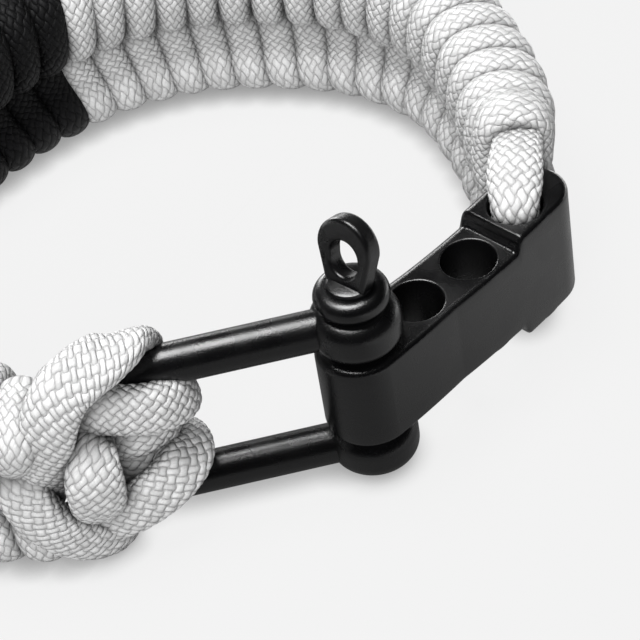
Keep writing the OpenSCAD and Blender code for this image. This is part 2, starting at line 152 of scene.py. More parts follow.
# How full a cord's outline is, from 2 for an ellipse, and the sizes of the rings that
# round off its ends
WRAP_FULL, CORE_FULL, TURN_FULL, DOME = 2.1, 2.3, 2.7, (0.93, 0.72, 0.4)

# Points round a cord, and along a wrap of the band, and the steps along other cords, in
# millimetres
WRAP_SIDES, CORE_SIDES, FINE_SIDES, STEPS_PER_WRAP = 24, 14, 64, 30
CORE_STEP, TURN_STEP, BIGHT_STEP = 1.5, 0.22, 0.2

# The bow, its pin and the adjuster block, in millimetres. The tab's eye stands EYE_Y
# over its foot, and its head's arc goes on TAB_JOIN degrees past level. The block's top
# climbs at RAMP_FROM along it. Its edge is rounded by BLOCK_EDGE, by EDGE_LEAN less on
# the outer side, and leaves LEAST_FACE flat beside a hole's rim.
CLASP_Y, MID_Z = -30.4, 10.4
BAR_R, CROWN_X, CROWN_R, LEG_END, PIN_X = 2.0, -3.0, 7.6, 12.0, 15.0
EAR_R, EAR_HALF, EAR_ROUND, BORE_R = 4.35, 2.3, 1.8, 2.55
SHAFT_R, TIP_Z, COLLAR_Z, COLLAR_R, COLLAR_ROUND = 2.5, 0.5, 20.4, 3.6, 1.15
NECK_R, NECK_TOP, TAB_BASE = 2.2, 23.35, 23.0
TAB_W, TAB_FOOT, TAB_H, TAB_T, TAB_SINK = 6.1, 4.3, 6.8, 1.9, 0.3
EYE_W, EYE_H, EYE_Y = 3.2, 3.7, 2.75
TAB_TURN, TAB_TILT, TAB_LEAN = -50.0, 14.0, -4.5
BLOCK_TURN, BLOCK_CURVE, HOLE_PITCH, HOLE_R = 28.0, 112.0, 7.15, 2.7
BLOCK_OUT, BLOCK_IN, PIN_END_R, FLANK_LEN = 3.45, 4.1, 4.35, 9.0
BLOCK_LOW, BLOCK_HIGH, RAMP_FROM, RAMP_LEN, BLOCK_LEN = 5.0, 6.5, 17.45, 0.9, 27.75
HOLES, HOLE_RIM, BLOCK_EDGE, EDGE_LEAN, LEAST_FACE = 4, 0.2, 0.85, 0.25, 0.1
TAB_JOIN, TAB_RIM, TAB_EDGE = 6.0, 0.35, 0.4
BAR_SIDES, TURNED_SIDES, SHARP = 48, 72, 40.0

# The lamps, in metres: place, size, share of the key light's power, and whether the
# metal mirrors it. All of them aim at one place, and none looks along LAMP_SIDE.
LAMPS = {
    "key": ((-0.06, 0.02, 0.48), 0.30, 1.0, True),
    "fill": ((-0.12, -0.50, 0.34), 0.36, 1.1, False),
    "rim": ((-0.12, 0.62, 0.13), 0.24, 0.5, True)}
LAMP_AIM = (0.0, 0.0, 0.01)
LAMP_SIDE = (0.3, 1.0, 0.1)

# The camera, in metres, and the ways to its right, up and ahead
CAMERA_AT = (-0.000539, -0.211095, 0.195462)
CAMERA_RIGHT = (0.9745, -0.1872, -0.1238)
CAMERA_UP = (0.2191, 0.6737, 0.7058)
CAMERA_AHEAD = (0.0487, 0.7149, -0.6975)
SENSOR_W = 36.0
FLOOR_HALF = 4.0


class CordSettings(PropertyGroup):
    """The cord and its braided sheath."""
    white: FloatVectorProperty(
        name="White", description="Colour of the white cord's yarns", subtype="COLOR",
        size=3, min=0.0, max=1.0, default=(0.76, 0.76, 0.76))
    black: FloatVectorProperty(
        name="Black", description="Colour of the black cord's yarns", subtype="COLOR",
        size=3, min=0.0, max=1.0, default=(0.006, 0.006, 0.0065))
    pick: FloatProperty(
        name="Pick", description="Length of one yarn's float along the sheath",
        unit="LENGTH", subtype="DISTANCE", default=0.00108, min=0.0005, max=0.003)
    columns: IntProperty(
        name="Columns", description="Columns of yarns round the sheath", default=11,
        min=8, max=24)
    relief: FloatProperty(
        name="Relief", description="Height of the yarns over the grooves between them",
        unit="LENGTH", subtype="DISTANCE", default=0.00019, min=0.0, max=0.0004)
    crease: FloatProperty(
        name="Crease", description="Reach of the shade where one cord lies on another",
        unit="LENGTH", subtype="DISTANCE", default=0.0022, min=0.0002, max=0.01)


class BandSettings(PropertyGroup):
    """The plaited band."""
    loop_w: FloatProperty(
        name="Loop width", description="Width of the loop on the band's centre line",
        unit="LENGTH", subtype="DISTANCE", default=0.0714, min=0.066, max=0.08)
    loop_d: FloatProperty(
        name="Loop depth", description="Depth of the loop on the band's centre line",
        unit="LENGTH", subtype="DISTANCE", default=0.062, min=0.058, max=0.068)
    height: FloatProperty(
        name="Height", description="Width of the band along the wrist",
        unit="LENGTH", subtype="DISTANCE", default=0.0208, min=0.0204, max=0.023)
    thickness: FloatProperty(
        name="Thickness", description="Thickness of the band off the wrist",
        unit="LENGTH", subtype="DISTANCE", default=0.0096, min=0.008, max=0.011)
    wrap_pitch: FloatProperty(
        name="Wrap pitch", description="Distance from one wrap to the next along an edge",
        unit="LENGTH", subtype="DISTANCE", default=0.00395, min=0.0034, max=0.005)
    cord_w: FloatProperty(
        name="Wrap width", description="Width of a wrapped cord along the band",
        unit="LENGTH", subtype="DISTANCE", default=0.0044, min=0.003, max=0.006)
    cord_t: FloatProperty(
        name="Wrap thickness", description="Thickness of a wrapped cord",
        unit="LENGTH", subtype="DISTANCE", default=0.0034, min=0.002, max=0.005)
    white_share: FloatProperty(
        name="White share", description="Share of the band that is white at the block's side",
        subtype="FACTOR", default=0.48, min=0.35, max=0.5)
    black_share: FloatProperty(
        name="Black share", description="Share of the band that is black",
        subtype="FACTOR", default=0.26, min=0.15, max=0.35)


class MetalSettings(PropertyGroup):
    """The coated metal parts."""
    colour: FloatVectorProperty(
        name="Coating", description="Colour of the black coating", subtype="COLOR",
        size=3, min=0.0, max=1.0, default=(0.003, 0.003, 0.0033))
    roughness: FloatProperty(
        name="Roughness", description="Roughness of the satin coating", subtype="FACTOR",
        default=0.27, min=0.0, max=1.0)
    grain: FloatProperty(
        name="Grain", description="Height of the coating's fine grain",
        unit="LENGTH", subtype="DISTANCE", default=0.00002, min=0.0, max=0.0001)
    gloss: FloatProperty(
        name="Gloss", description="Strength of the coating's reflection", subtype="FACTOR",
        default=0.8, min=0.0, max=1.0)


class StageSettings(PropertyGroup):
    """The floor, the lights and the camera."""
    floor: FloatVectorProperty(
        name="Floor", description="Colour of the floor", subtype="COLOR",
        size=3, min=0.0, max=1.0, default=(0.03, 0.03, 0.03))
    glow: FloatProperty(
        name="Glow", description="Brightness of the floor's own light, where nothing is near",
        default=0.85, min=0.0, max=2.0)
    bounce: FloatProperty(
        name="Bounce", description="Share of the floor's own light that reaches the bracelet",
        subtype="FACTOR", default=0.5, min=0.0, max=1.0)
    # Reach of the floor's painted contact shadow under the bracelet
    contact_shadow: FloatProperty(
        name="Contact", description="Reach of the dark rim where the bracelet touches the floor",
        unit="LENGTH", subtype="DISTANCE", default=0.003, min=0.001, max=0.05)
    sky: FloatProperty(
        name="Sky", description="Strength of the even light from all round",
        default=0.95, min=0.0, max=5.0)
    back: FloatProperty(
        name="Back light", description="Extra light that comes in low from behind",
        default=2.2, min=0.0, max=10.0)
    gloss_light: FloatProperty(
        name="Gloss light", description="Light overhead as the metal mirrors it",
        default=1.45, min=0.0, max=10.0)
    key: FloatProperty(
        name="Key light", description="Power of the large light overhead",
        unit="POWER", default=2.7, min=0.0, max=50.0)
    lens: FloatProperty(
        name="Lens", description="Focal length of the camera", default=155.376,
        min=20.0, max=400.0)


SETTINGS = {"bracelet_cord": CordSettings, "bracelet_band": BandSettings,
            "bracelet_metal": MetalSettings, "bracelet_stage": StageSettings}


def unit(v):
    """Each row divided by its own length."""
    return v / np.maximum(np.linalg.norm(v, axis=-1, keepdims=True), 1e-12)


def smooth_step(share):
    """A share from 0 to 1 that starts and ends flat: 3 share^2 - 2 share^3."""
    share = np.clip(share, 0, 1)
    return share * share * (3 - 2 * share)


def smooth_curve(points, v):
    """Catmull-Rom curve: the cubic through each point whose slope there is half the step
    between its neighbours, read at v, which counts the points. The end points are
    carried on in a straight line."""
    points = np.asarray(points, float)
    ends = np.vstack([2 * points[0] - points[1], points, 2 * points[-1] - points[-2]])
    i = np.clip(np.floor(v).astype(int), 0, len(points) - 2)
    u = (v - i)[:, None]
    a, b, c, d = (ends[i + k] for k in range(4))
    return (2 * b + (c - a) * u + (2 * a - 5 * b + 4 * c - d) * u ** 2
            + (3 * b - a - 3 * c + d) * u ** 3) / 2


def running_length(points):
    """The length of the line through the points, from the first up to each of them."""
    return np.append(0, np.cumsum(np.linalg.norm(np.diff(points, axis=0), axis=1)))


def even_steps(points, step):
    """Parameters of the curve through the points, spaced evenly along its length."""
    v = np.linspace(0, len(points) - 1, 40 * len(points))
    length = running_length(smooth_curve(points, v)[:, :3])
    count = max(int(length[-1] / step), 4)
    return np.interp(np.linspace(0, length[-1], count + 1), length, v)


def braid_height(x, y):
    """Height from 0 to 1 of a sheath braided over one and under one. x counts picks
    along the cord and y counts columns round it. The yarns of one hand lie where y + x
    has the same whole part, those of the other where y - x has, and whether the sum of
    the two whole parts is even says which hand is on top. A float's height is 1 less
    YARN_ROUND across^2 and YARN_FALL along^4, and it bulges over its neighbours' ends by
    BULGE of a yarn's width, through a + BULGE sin(pi b) cos(pi a) and the like for b."""
    a, b = y + x, y - x
    a, b = (a + BULGE * np.sin(np.pi * b) * np.cos(np.pi * a),
            b - BULGE * np.sin(np.pi * a) * np.cos(np.pi * b))
    i, j = np.floor(a), np.floor(b)
    first = np.mod(i + j, 2) < 0.5
    across = np.where(first, a - i, b - j) - 0.5
    along = np.where(first, b - j, a - i) * 2 - 1
    return np.clip(1 - YARN_ROUND * across ** 2 - YARN_FALL * along ** 4, 0, 1)


def ring_angles(sides):
    """Angles that divide the full circle evenly."""
    return np.arange(sides) * 2 * np.pi / sides


def oval(q, full):
    """The points of the rounded oval |x|^full + |y|^full = 1 at the angles q."""
    c, s = np.cos(q), np.sin(q)
    return (np.sign(c) * np.abs(c) ** (2 / full), np.sign(s) * np.abs(s) ** (2 / full))


def even_ring(sides, half_w, half_t, full):
    """Angles at which an oval's points lie evenly along its outline."""
    q = np.linspace(0, 2 * np.pi, 1441)
    x, y = oval(q, full)
    length = running_length(np.column_stack([half_w * x, half_t * y]))
    return np.interp(np.arange(sides) * length[-1] / sides, length, q)


def ring_faces(rows, cols, wrap_rows=False):
    """Four-sided faces between rings of points, cols to a ring. Point j of ring i joins
    the next one round its ring and the same two of the next ring."""
    i, j = np.divmod(np.arange((rows if wrap_rows else rows - 1) * cols)[:, None], cols)
    return (i + [0, 0, 1, 1]) % rows * cols + (j + [0, 1, 1, 0]) % cols


def end_fans(rows, cols):
    """Triangles from the first and the last ring to the two points that follow them."""
    j, k = np.arange(cols), (np.arange(cols) + 1) % cols
    last, pole = (rows - 1) * cols, np.full(cols, rows * cols)
    return np.vstack([np.stack([k, j, pole], -1), np.stack([last + j, last + k, pole + 1], -1)])


def sweep(centre, wide, half_w, half_t, sides, cord, relief=0.0, full=CORE_FULL, twist=0.0):
    """A cord: at each place of its centre line stands a ring, a rounded oval with
    |x / half_w|^full + |y / half_t|^full = 1, whose x runs along wide and whose y is
    square to wide and to the line. With relief, each point is pushed out by the sheath's
    height there, and twist turns the sheath about the cord by so many columns a pick. Two
    domes close the ends. Gives points, four-sided faces, end fans and each face corner's
    place on the sheath, in picks and columns."""
    n = len(centre)
    run = unit(np.gradient(centre, axis=0))
    wide = unit(wide - (wide * run).sum(1, keepdims=True) * run)
    thick = np.cross(run, wide)
    q = even_ring(sides, np.mean(half_w), np.mean(half_t), full)
    c, s = oval(q, full)
    half_w = np.broadcast_to(half_w, (n,))[:, None]
    half_t = np.broadcast_to(half_t, (n,))[:, None]
    along = running_length(centre) / cord.pick
    x, y = half_w * c, half_t * s
    if relief:
        nx, ny = x / half_w ** 2, y / half_t ** 2
        size = np.sqrt(nx ** 2 + ny ** 2)
        column = cord.columns * np.arange(sides) / sides + twist * along[:, None]
        rise = relief * (braid_height(along[:, None], column) - SHEATH_LEVEL)
        x, y = x + rise * nx / size, y + rise * ny / size
    dome = np.array(DOME)
    reach = half_t[[0, -1]] * np.sqrt(1 - dome ** 2)
    mid = np.vstack([centre[0] - run[0] * reach[0, ::-1, None], centre,
                     centre[-1] + run[-1] * reach[1, :, None]])
    scale = np.concatenate([dome[::-1], np.ones(n), dome])[:, None]
    place = np.arange(-len(dome), n + len(dome)).clip(0, n - 1)
    along, wide, thick, x, y = (values[place] for values in (along, wide, thick, x, y))
    ring = (mid[:, None] + wide[:, None] * (x * scale)[..., None]
            + thick[:, None] * (y * scale)[..., None])
    tips = [centre[0] - run[0] * half_t[0], centre[-1] + run[-1] * half_t[-1]]
    m = len(ring)
    i, j = np.divmod(np.arange((m - 1) * sides)[:, None], sides)
    column, picks = cord.columns / sides, along[i + [0, 0, 1, 1]]
    uv = np.stack([picks, column * (j + [0, 1, 1, 0]) + twist * picks], -1)
    tris = end_fans(m, sides)
    tri_uv = np.zeros((len(tris), 3, 2))
    tri_uv[..., 0] = np.repeat(along[[0, -1]], sides)[:, None]
    tri_uv[..., 1] = column * tris.clip(0, sides)
    return np.vstack([ring.reshape(-1, 3), tips]), ring_faces(m, sides), tris, uv, tri_uv


def grid_part(grid, wrap_rows=False, poles=False):
    """Four-sided faces over a grid of points whose columns close on themselves. Its rows
    may close too, or fans close the first and the last row. The faces are turned outward
    by the sign of the volume inside, the sum of a . (b x c) over the triangles."""
    rows, cols = grid.shape[:2]
    points = grid.reshape(-1, 3)
    quads = ring_faces(rows, cols, wrap_rows)
    tris = np.zeros((0, 3), int)
    if poles:
        points = np.vstack([points, grid[0].mean(0), grid[-1].mean(0)])
        tris = end_fans(rows, cols)
    every = np.vstack([quads[:, :3], quads[:, [0, 2, 3]], tris])
    a, b, c = (points[every[:, k]] for k in range(3))
    if (a * np.cross(b, c)).sum() < 0:
        quads, tris = quads[:, ::-1], tris[:, ::-1]
    return points, quads, tris, np.zeros((len(quads), 4, 2)), np.zeros((len(tris), 3, 2))


def circle(x, y, radius, a):
    """The circle's points at the angles a about (x, y)."""
    return np.stack([x + radius * np.cos(a), y + radius * np.sin(a)], -1)


def arc(x, y, radius, first, last, count):
    """Points of a circle's arc about (x, y), angles in degrees."""
    return circle(x, y, radius, np.radians(np.linspace(first, last, count)))


def line(first, last, count):
    """Points from first up to, but without, last."""
    k = np.arange(count)[:, None] / count
    return (1 - k) * np.array(first) + k * np.array(last)


def turned(profile, **ends):
    """A part turned about the pin's upright axis, which carries each point (r, z) of the
    profile round it."""
    q = ring_angles(TURNED_SIDES)
    r, z = profile[:, :1], profile[:, 1:]
    x, y = PIN_X + r * np.cos(q), CLASP_Y + r * np.sin(q)
    return grid_part(np.stack([x, y, z + 0 * q], -1) * MM, **ends)


def swing(a, b, angle):
    """Two directions that are square to each other, turned in their plane, a toward b."""
    c, s = np.cos(np.radians(angle)), np.sin(np.radians(angle))
    return c * a + s * b, c * b - s * a


def ringed_plate(hole, outline, top, rim, edge):
    """A plate with one hole as a closed grid of rings. A ring is a curve round the hole:
    up the bore, over the rim's quarter circle of radius rim, across the top face, over
    the outer edge's quarter circle, down the wall, and the same way back underneath.
    hole(e) is the hole's outline grown by e, outline(e) the plate's drawn in by e, and
    top(x) half the plate's height at x."""
    turn = np.linspace(0, np.pi / 2, 6)
    inner, outer = hole(rim), outline(edge)
    upper = [(hole(rim * (1 - np.cos(a))), rim * (1 - np.sin(a))) for a in turn]
    upper += [((1 - k) * inner + k * outer, 0) for k in np.linspace(0, 1, 12)[1:-1]]
    upper += [(outline(edge * (1 - np.sin(a))), edge * (1 - np.cos(a))) for a in turn]
    plan = np.array([p for p, drop in upper])
    drop = np.array([np.broadcast_to(d, len(inner)) for p, d in upper])
    height = top(plan[..., 0]) - drop
    rings = np.concatenate([plan, height[..., None]], -1)
    under = rings[::-1] * np.array([1, 1, -1])
    wall = [(1 - k) * rings[-1] + k * under[0] for k in np.linspace(0, 1, 8)[1:-1]]
    bore = [(1 - k) * under[-1] + k * rings[0] for k in np.linspace(0, 1, 6)[1:-1]]
    return np.concatenate([rings, wall, under, bore])


def block_cell(i):
    """The stretch of the adjuster block round its hole i, from halfway to the hole before
    to halfway to the next one. It is drawn flat, x along the block from the hole's middle
    and y across it, and then carried on to the arc of the block's centre line: the angle
    is the start's plus length over radius, and y is added to the radius. The rounded
    edge is narrower on the outer side, and leaves some flat face beside the hole's rim."""
    half = HOLE_PITCH / 2
    side, cut = 34, 26
    far_end = i == HOLES - 1
    far_r, far_y = (BLOCK_OUT + BLOCK_IN) / 2, (BLOCK_OUT - BLOCK_IN) / 2
    far_x = BLOCK_LEN - (HOLES - 1) * HOLE_PITCH - far_r

    def reach(x, width):
        narrowing = np.clip(1 - (x + i * HOLE_PITCH) / FLANK_LEN, 0, 1)
        return width + (PIN_END_R - width) * narrowing

    def across(x, inset, k):
        low, high = reach(x, BLOCK_IN) - inset, reach(x, BLOCK_OUT) - inset
        return np.stack([np.full(cut, x), k * high - (1 - k) * low], -1)

    def outline(inset):
        inset = np.broadcast_to(inset, 2 * (side + cut))
        right, upper, left, lower = np.split(inset, [cut, cut + side, 2 * cut + side])
        k, m = np.arange(cut) / cut, np.arange(side) / side
        a = np.pi * (k - 0.5)
        first, last = -half if i else 0.0, far_x if far_end else half
        right = circle(far_x, far_y, far_r - right, a) if far_end else across(half, right, k)
        left = across(-half, left, 1 - k) if i else circle(0, 0, PIN_END_R - left, a + np.pi)
        x = last + (first - last) * m
        upper = np.stack([x, reach(x, BLOCK_OUT) - upper], -1)
        x = first + (last - first) * m
        lower = np.stack([x, lower - reach(x, BLOCK_IN)], -1)
        return np.concatenate([right, upper, left, lower])

    shape = outline(0.0)
    angle = np.arctan2(shape[:, 1], shape[:, 0])

    def hole(grow):
        x, y = circle(0, 0, HOLE_R + grow, angle).T
        return np.stack([x * BLOCK_CURVE / (BLOCK_CURVE + y), y], -1)

    def top(x):
        ramp = smooth_step((x + i * HOLE_PITCH - RAMP_FROM) / RAMP_LEN)
        return BLOCK_LOW + (BLOCK_HIGH - BLOCK_LOW) * ramp

    x, y = shape.T
    rim_r = HOLE_R + HOLE_RIM
    face = np.maximum(np.abs(y) - np.sqrt(np.clip(rim_r ** 2 - x ** 2, 0, None)),
                      np.hypot(x, y) - rim_r)
    edge = np.minimum(BLOCK_EDGE - EDGE_LEAN * np.clip(y / BLOCK_OUT, -1, 1), face - LEAST_FACE)
    rings = ringed_plate(hole, outline, top, HOLE_RIM, edge)
    turn = np.radians(BLOCK_TURN)
    a = turn + (i * HOLE_PITCH + rings[..., 0]) / BLOCK_CURVE
    radius = BLOCK_CURVE + rings[..., 1]
    x = PIN_X - BLOCK_CURVE * np.sin(turn) + radius * np.sin(a)
    y = CLASP_Y + BLOCK_CURVE * np.cos(turn) - radius * np.cos(a)
    return grid_part(np.stack([x, y, MID_Z + rings[..., 2]], -1) * MM, wrap_rows=True)


def eye_tab():
    """The pin's flat tab: a straight foot that widens to a round head, with a long eye.
    It is drawn flat and set on its foot by three turns: about the pin, back and aside."""
    head_y = TAB_H - TAB_W / 2

    def outline(inset):
        r, foot = TAB_W / 2 - inset, TAB_FOOT / 2 - inset
        low = inset - TAB_SINK
        head = arc(0, head_y, r, -TAB_JOIN, 180 + TAB_JOIN, 60)
        return np.concatenate([
            head, line(head[-1], [-foot, low], 24)[1:], line([-foot, low], [foot, low], 16),
            line([foot, low], head[0], 24)])

    shape = outline(0.0)
    angle = np.arctan2(shape[:, 1] - EYE_Y, shape[:, 0])

    def hole(grow):
        r, b = EYE_W / 2 + grow, (EYE_H - EYE_W) / 2
        c, s = np.cos(angle), np.sin(angle)
        reach = b * np.abs(s) + np.sqrt(r * r - b * b * c * c)
        reach = np.where(np.abs(s) * r < b * np.abs(c), r / np.maximum(np.abs(c), 1e-9), reach)
        return np.stack([reach * c, EYE_Y + reach * s], -1)

    rings = ringed_plate(hole, outline, lambda x: TAB_T / 2 + 0 * x, TAB_RIM, TAB_EDGE)
    x, y, z = np.eye(3)
    wide, back = swing(x, y, TAB_TURN)
    up, back = swing(z, back, TAB_TILT)
    up, wide = swing(up, wide, TAB_LEAN)
    foot = np.array([PIN_X, CLASP_Y, TAB_BASE])
    return grid_part((foot + rings @ np.stack([wide, up, back])) * MM, wrap_rows=True)


def bow_bar():
    """The bow's round bar: a circle carried along one leg, round the crown and back."""
    crown = arc(CROWN_X, MID_Z, CROWN_R, 90, 270, 80)
    leg = np.linspace(LEG_END, CROWN_X, 60, endpoint=False)
    upper = np.stack([leg, np.full(60, MID_Z + CROWN_R)], -1)
    lower = np.stack([leg[::-1], np.full(60, MID_Z - CROWN_R)], -1)
    path = np.concatenate([upper, crown, lower])
    run = unit(np.gradient(path, axis=0))
    q = ring_angles(BAR_SIDES)
    out = np.stack([-run[:, 1], run[:, 0]], -1)[:, None] * (BAR_R * np.cos(q))[:, None]
    ring = path[:, None] + out
    y = CLASP_Y + np.broadcast_to(BAR_R * np.sin(q), ring.shape[:2])
    return grid_part(np.stack([ring[..., 0], y, ring[..., 1]], -1) * MM, poles=True)


def ear(z):
    """One of the bow's eared ends: a round washer whose edges are quarter circles."""
    flat = EAR_HALF - EAR_ROUND
    profile = np.concatenate([
        arc(EAR_R - EAR_ROUND, z - flat, EAR_ROUND, -90, 0, 14),
        arc(EAR_R - EAR_ROUND, z + flat, EAR_ROUND, 0, 90, 14),
        line([BORE_R, z + EAR_HALF], [BORE_R, z - EAR_HALF], 10)[1:]])
    return turned(profile, wrap_rows=True)


def pin_shaft():
    """The pin turned from the bar: its shaft, the round collar and the tab's neck."""
    rim = COLLAR_R - COLLAR_ROUND
    lip = np.degrees(np.arccos((NECK_R - rim) / COLLAR_ROUND))
    profile = np.concatenate([
        [[0.02, TIP_Z], [1.6, TIP_Z], [2.1, TIP_Z], [2.4, TIP_Z + 0.1], [SHAFT_R, TIP_Z + 0.4]],
        line([SHAFT_R, TIP_Z + 0.6], [SHAFT_R, COLLAR_Z], 30),
        arc(rim, COLLAR_Z + COLLAR_ROUND, COLLAR_ROUND, -86, lip, 30),
        arc(NECK_R + 0.1, COLLAR_Z + 2 * COLLAR_ROUND + 0.02, 0.1, 240, 180, 4),
        [[NECK_R, NECK_TOP - 0.3], [NECK_R - 0.05, NECK_TOP - 0.1], [NECK_R - 0.3, NECK_TOP],
         [0.02, NECK_TOP]]])
    return turned(profile, poles=True)


def show(name, data):
    """A new object of the scene that shows the data."""
    shown = bpy.data.objects.new(name, data)
    bpy.context.scene.collection.objects.link(shown)
    return shown


def put_piece(name, parts, material, body, nodes, sharp=None):
    """Joins the parts' arrays into one mesh object with a UV map and the material, hangs it on the
    empty of the body it rides on, and hides the solids it stands for. Edges that turn by more than
    sharp, in degrees, stay sharp."""
    points, quads, tris, quad_uv, tri_uv = zip(*parts)
    offset = np.cumsum([0] + [len(p) for p in points])
    quads = np.vstack([face + o for face, o in zip(quads, offset)])
    tris = np.vstack([face + o for face, o in zip(tris, offset)])
    corners = np.concatenate([quads.ravel(), tris.ravel()])
    starts = np.concatenate([np.arange(len(quads)) * 4, quads.size + np.arange(len(tris)) * 3])
    uv = np.vstack([place.reshape(-1, 2) for place in quad_uv + tri_uv])
    mesh = bpy.data.meshes.new(name)
    mesh.vertices.add(offset[-1])
    mesh.vertices.foreach_set("co", np.vstack(points).astype(np.float32).ravel())
    mesh.loops.add(len(corners))
    mesh.loops.foreach_set("vertex_index", corners.astype(np.int32))
    mesh.polygons.add(len(starts))
    mesh.polygons.foreach_set("loop_start", starts.astype(np.int32))
    layer = mesh.uv_layers.new(name="sheath")
    layer.uv.foreach_set("vector", uv.astype(np.float32).ravel())
    mesh.update(calc_edges=True)
    mesh.validate()
    mesh.shade_smooth()
    if sharp:
        mesh.set_sharp_from_angle(angle=math.radians(sharp))
    mesh.materials.append(material)
    piece = show(name, mesh)
    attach(piece, body)
    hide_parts(*nodes)


class Graph:
    """Short ways to add nodes to a material or a world."""

    def __init__(self, owner, shader="Principled BSDF"):
        owner.use_nodes = True
        self.owner = owner
        self.tree = owner.node_tree
        self.inputs = self.tree.nodes[shader].inputs

    def put(self, socket, value):
        """The value linked to the socket, or set on the socket itself."""
        if isinstance(value, bpy.types.NodeSocket):
            self.tree.links.new(value, socket)
        else:
            socket.default_value = value

    def add(self, kind, *values, **named):
        """A node with the values in its first inputs, and each named value on its input
        or its setting of that name."""
        node = self.tree.nodes.new(kind)
        for name, value in named.items():
            if name in node.inputs:
                self.put(node.inputs[name], value)
            else:
                setattr(node, name, value)
        for socket, value in zip(node.inputs, values):
            self.put(socket, value)
        return node

    def finish(self, values):
        """The values on the shader's sockets of those names. Gives back the material or
        the world."""
        for name, value in values.items():
            self.put(self.inputs[name], value)
        return self.owner

    def math(self, operation, *values):
        """The result of one operation on the values."""
        return self.add("ShaderNodeMath", *values, operation=operation).outputs[0]

    def split(self, place):
        """The x, y and z of a place."""
        return self.add("ShaderNodeSeparateXYZ", place).outputs[:]

    def join(self, *values):
        """The place with these x, y and z."""
        return self.add("ShaderNodeCombineXYZ", *values).outputs[0]

    def blend(self, factor, first, second, colours=False):
        """The first number or colour at factor 0 and the second at 1."""
        kind, k, out = ("RGBA", 6, 2) if colours else ("FLOAT", 2, 0)
        node = self.add("ShaderNodeMix", factor, data_type=kind)
        self.put(node.inputs[k], first)
        self.put(node.inputs[k + 1], second)
        return node.outputs[out]

    def fit(self, value, low, high, to_low=0.0, to_high=1.0):
        """A smooth step from to_low, where the value is low, to to_high, where it's high."""
        return self.add("ShaderNodeMapRange", value, low, high, to_low, to_high,
                        interpolation_type="SMOOTHSTEP").outputs[0]

    def noise(self, place, scale, detail):
        """Soft noise from 0 to 1."""
        return self.add("ShaderNodeTexNoise", place, noise_dimensions="3D", Scale=scale,
                        Detail=detail).outputs[0]

    def bump(self, height, distance):
        """The surface's normal, tilted by a height from 0 to 1 that is so deep."""
        return self.add("ShaderNodeBump", Height=height, Distance=distance).outputs[0]


def tint(colour, share=1.0):
    """A colour times the share, with full alpha."""
    return (*[c * share for c in colour], 1.0)


def sheath_material(cord, colour):
    """A braided nylon sheath, drawn from the piece's own UV map with the formula of braid_height: the
    yarns' colour on the floats and a painted shade in the grooves between them, with fine streaks
    along each yarn, and a painted shade, darker still, where cord lies close on cord."""
    shade, roughness, gloss = SHEATHS[colour]
    yarn = getattr(cord, colour)
    groove_shade = [shade * c for c in yarn]
    g = Graph(bpy.data.materials.new(colour + "_sheath"))
    m = g.math
    x, y, _ = g.split(g.add("ShaderNodeUVMap", uv_map="sheath").outputs[0])
    flat_a, flat_b = m("ADD", y, x), m("SUBTRACT", y, x)

    def wave(one, other):
        turn_one, turn_other = m("MULTIPLY", one, math.pi), m("MULTIPLY", other, math.pi)
        return m("MULTIPLY", m("MULTIPLY", m("SINE", turn_other), m("COSINE", turn_one)), BULGE)

    a, b = m("ADD", flat_a, wave(flat_a, flat_b)), m("SUBTRACT", flat_b, wave(flat_b, flat_a))
    i, j = m("FLOOR", a), m("FLOOR", b)
    part_a, part_b = m("SUBTRACT", a, i), m("SUBTRACT", b, j)
    first = m("LESS_THAN", m("FLOORED_MODULO", m("ADD", i, j), 2.0), 0.5)

    def pick(one, other):
        return m("ADD", other, m("MULTIPLY", first, m("SUBTRACT", one, other)))

    across = m("SUBTRACT", pick(part_a, part_b), 0.5)
    along = m("SUBTRACT", m("MULTIPLY", pick(part_b, part_a), 2.0), 1.0)
    bend = m("MULTIPLY", m("POWER", m("ABSOLUTE", across), 2.0), YARN_ROUND)
    fall = m("MULTIPLY", m("POWER", m("ABSOLUTE", along), 4.0), YARN_FALL)
    height = m("MAXIMUM", m("SUBTRACT", m("SUBTRACT", 1.0, bend), fall), 0.0)
    yarn_id = m("ADD", m("MULTIPLY", i, 1.7), m("MULTIPLY", j, 2.9))
    finest = g.join(m("MULTIPLY", across, STREAKS), m("MULTIPLY", along, 0.6), yarn_id)
    streak = g.noise(finest, 1.0, 2.0)
    chance = g.add("ShaderNodeTexWhiteNoise", g.join(i, j), noise_dimensions="3D").outputs[0]
    light = m("ADD", m("MULTIPLY", streak, 0.7), m("MULTIPLY", chance, 0.3))
    tone = g.blend(g.fit(light, 0.3, 0.7), tint(yarn, 0.78), tint(yarn), colours=True)
    # Painted shade: where a float's height falls into the grooves between yarns, the colour darkens to
    # the groove shade
    tone = g.blend(g.fit(height, -0.05, 0.6), tint(groove_shade), tone, colours=True)
    # Painted crease shade: where ambient occlusion finds cord close on cord, the colour darkens toward
    # 0.45 of the groove shade
    near = g.add("ShaderNodeAmbientOcclusion", tone, samples=8, Distance=cord.crease).outputs
    unshaded_share = g.fit(near["AO"], 0.2, 0.95)
    relief = m("ADD", height, m("MULTIPLY", streak, 0.2))
    return g.finish({
        "Base Color": g.blend(unshaded_share, tint(groove_shade, 0.45), near["Color"], colours=True),
        "Normal": g.bump(relief, cord.relief), "Roughness": roughness,
        "Specular IOR Level": gloss})


def put_cords(name, parts, cord, colour, *nodes):
    """Puts cords in the white or the black sheath, made at its first use."""
    sheath = bpy.data.materials.get(colour + "_sheath") or sheath_material(cord, colour)
    put_piece(name, parts, sheath, "bracelet", nodes)


